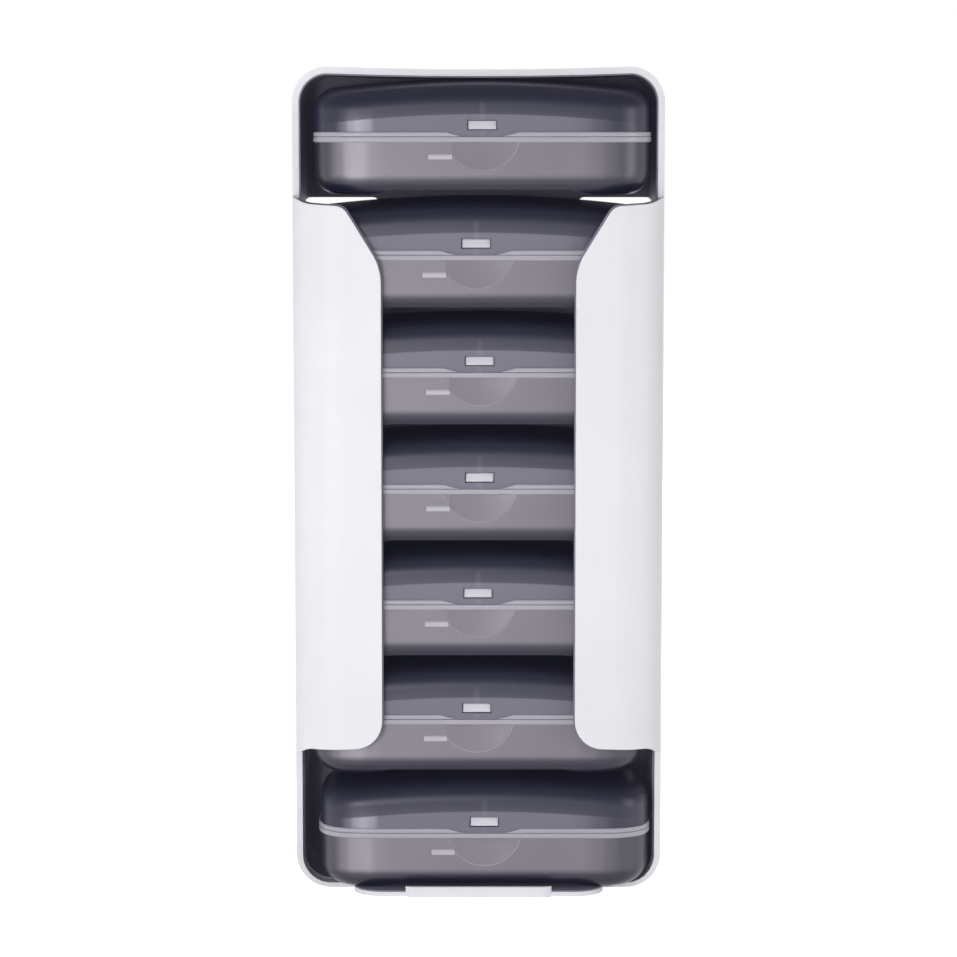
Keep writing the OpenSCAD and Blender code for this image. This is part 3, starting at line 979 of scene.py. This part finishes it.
def on_nib(x, y, z):
    in_window = abs(x) <= CATCH_W / 2 and abs(z - TRAY_H - CATCH_Z) < CATCH_H
    return in_window and y < LIP_IN - NEAR


def on_ledge(x, y, z):
    along = LEDGE_X - LOOSE < x < LEDGE_X + LEDGE_W + LOOSE
    return along and y < BEAD - NEAR and abs(z - TRAY_H + LEDGE_DOWN) < LEDGE_H


def on_scoop_edge(x, y, z):
    radius = sqrt(x * x + (z - TRAY_H - SCOOP_UP) ** 2)
    on_round = SCOOP_R - SCOOP_LEAN - NEAR < radius < SCOOP_R + NEAR
    in_wall = BEAD - NEAR < y < BEAD + SCOOP_STEP + NEAR
    return on_round and in_wall and z < TRAY_H - TRAY_BEAD - LOOSE


# The boxes

lid_form = build_lid()
use(lid_form, LID)
# The beads, the nib, the ledge and the scoop's edge get the painted-highlight materials.
paint(lid_form, RIM, on_lid_bead)

tray_form = build_tray()
use(tray_form, TRAY)
paint(tray_form, RIM, on_tray_bead)
paint(tray_form, CATCH, on_nib)
paint(tray_form, LEDGE, on_ledge)
paint(tray_form, EDGE, on_scoop_edge)

for i in range(1, BOXES + 1):
    low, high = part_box(f"tray_{i}")
    place = Vector(((low[0] + high[0]) / 2, low[1], low[2]))
    for form, kind in ((tray_form, "tray"), (lid_form, "lid")):
        piece = form if i == 1 else link_object(form.copy())
        piece.name = f"{kind}_{i}_smooth"
        piece.location = place
        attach(piece, f"box_{i}")
        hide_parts(f"{kind}_{i}")

# The CAD nodes that stay: the shell, the lining and the hinge rods.
for name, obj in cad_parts.items():
    if name.startswith(("tray", "lid")):
        continue
    material = {"outer_shell": SHELL, "inner_liner": LINER}.get(name, STEEL)
    for slot in obj.material_slots:
        slot.material = material
    if not obj.material_slots:
        obj.data.materials.append(material)

# Stage

# The floor's own shading, with the object's shadow, is topped up to white by this much.
FLOOR_TOP_UP = 0.88
FLOOR_SIZE = 8

# The backdrop is white up to HORIZON_END, and from OVERHEAD_START on the studio is dimmer. Both
# are in degrees above the horizon. AMBIENT_SHARE of that brightness lights the object.
HORIZON = 1.0
HORIZON_END = 6
OVERHEAD = 0.22
OVERHEAD_START = 34
AMBIENT_SHARE = 0.6


def seen_directly(nodes):
    """1 where a ray comes from the camera, a reflection or glass, for a white background."""
    rays = nodes.node("ShaderNodeLightPath").outputs
    value = rays["Is Camera Ray"]
    for name in ("Is Glossy Ray", "Is Transmission Ray"):
        value = nodes.math("MAXIMUM", value, rays[name])
    return value


def floor_material():
    m = Material("pale_floor")
    m.set(Base_Color=FLOOR_COLOUR, Roughness=0.8, Specular_IOR_Level=0.2,
          Emission_Color=WHITE,
          Emission_Strength=m.math("MULTIPLY", seen_directly(m), FLOOR_TOP_UP))
    return m.material


def studio_world():
    world = bpy.data.worlds.new("studio")
    world.use_nodes = True
    world.node_tree.nodes.clear()
    nodes = Nodes(world.node_tree)
    split = nodes.node("ShaderNodeSeparateXYZ")
    nodes.feed(split.inputs[0], nodes.node("ShaderNodeTexCoord").outputs["Generated"])
    level = nodes.ramp(split.outputs["Z"], HORIZON, OVERHEAD, sin(radians(HORIZON_END)),
                       sin(radians(OVERHEAD_START)), "SMOOTHSTEP")
    white = nodes.node("ShaderNodeBackground", in_Color=WHITE, in_Strength=level)
    ambient = nodes.node("ShaderNodeBackground", in_Color=WHITE,
                         in_Strength=nodes.math("MULTIPLY", level, AMBIENT_SHARE))
    either = nodes.node("ShaderNodeMixShader", in_Fac=seen_directly(nodes))
    nodes.feed(either.inputs[1], ambient.outputs[0])
    nodes.feed(either.inputs[2], white.outputs[0])
    nodes.node("ShaderNodeOutputWorld", in_Surface=either.outputs[0])
    return world


def softbox(name, place, aim, width, tall, radiance, glossy=True):
    """A softbox with a given radiance, where 1 is as bright as the white backdrop."""
    light = bpy.data.lights.new(name, "AREA")
    light.shape = "RECTANGLE"
    light.size = width
    light.size_y = tall
    light.energy = radiance * pi * width * tall
    obj = link_object(bpy.data.objects.new(name, light))
    obj.location = place
    obj.rotation_euler = (Vector(aim) - Vector(place)).to_track_quat("-Z", "Y").to_euler()
    obj.visible_camera = False
    obj.visible_glossy = glossy


bpy.ops.mesh.primitive_plane_add(size=FLOOR_SIZE, location=(0, 0, 0))
floor = bpy.context.object
floor.name = "floor"
use(floor, floor_material())

bpy.context.scene.world = studio_world()

# Each softbox has a place, a point that it faces, a width, a height and a radiance.
softbox("key", (-0.180, -0.54, 0.105), (0, 0, 0.11), 0.21, 0.21, 9.15)
softbox("edge", (0.71, -0.37, 0.20), (0, 0, 0.12), 0.34, 0.5, 3.2)
softbox("side", (-0.75, -0.20, 0.20), (0, 0, 0.11), 0.3, 0.5, 2.8, glossy=False)
softbox("top", (0, 0.1, 1.1), (0, 0, 0.1), 0.8, 0.8, 1.5, glossy=False)
softbox("back", (0.25, 0.9, 0.5), (0, 0, 0.11), 0.7, 0.7, 2.4, glossy=False)

# Camera: its focal length in the photo's pixels, how far it stands in front of the holder's rim,
# its height, and how many degrees it looks down.
FRAME_PX = 957
FOCAL_PX = 3180
SENSOR = 36.0
RIM_Y = -0.010875
CAMERA_AWAY = 0.858
CAMERA_UP = 0.2052
LOOK_DOWN = 6.13

camera_data = bpy.data.cameras.new("camera")
camera_data.sensor_fit = "HORIZONTAL"
camera_data.sensor_width = SENSOR
camera_data.lens = FOCAL_PX / FRAME_PX * SENSOR
camera_data.clip_start = 0.05
camera = link_object(bpy.data.objects.new("camera", camera_data))
camera.location = (0.0, RIM_Y - CAMERA_AWAY, CAMERA_UP)
camera.rotation_euler = (radians(90 - LOOK_DOWN), 0, 0)
bpy.context.scene.camera = camera
bpy.context.scene.view_settings.view_transform = "Standard"
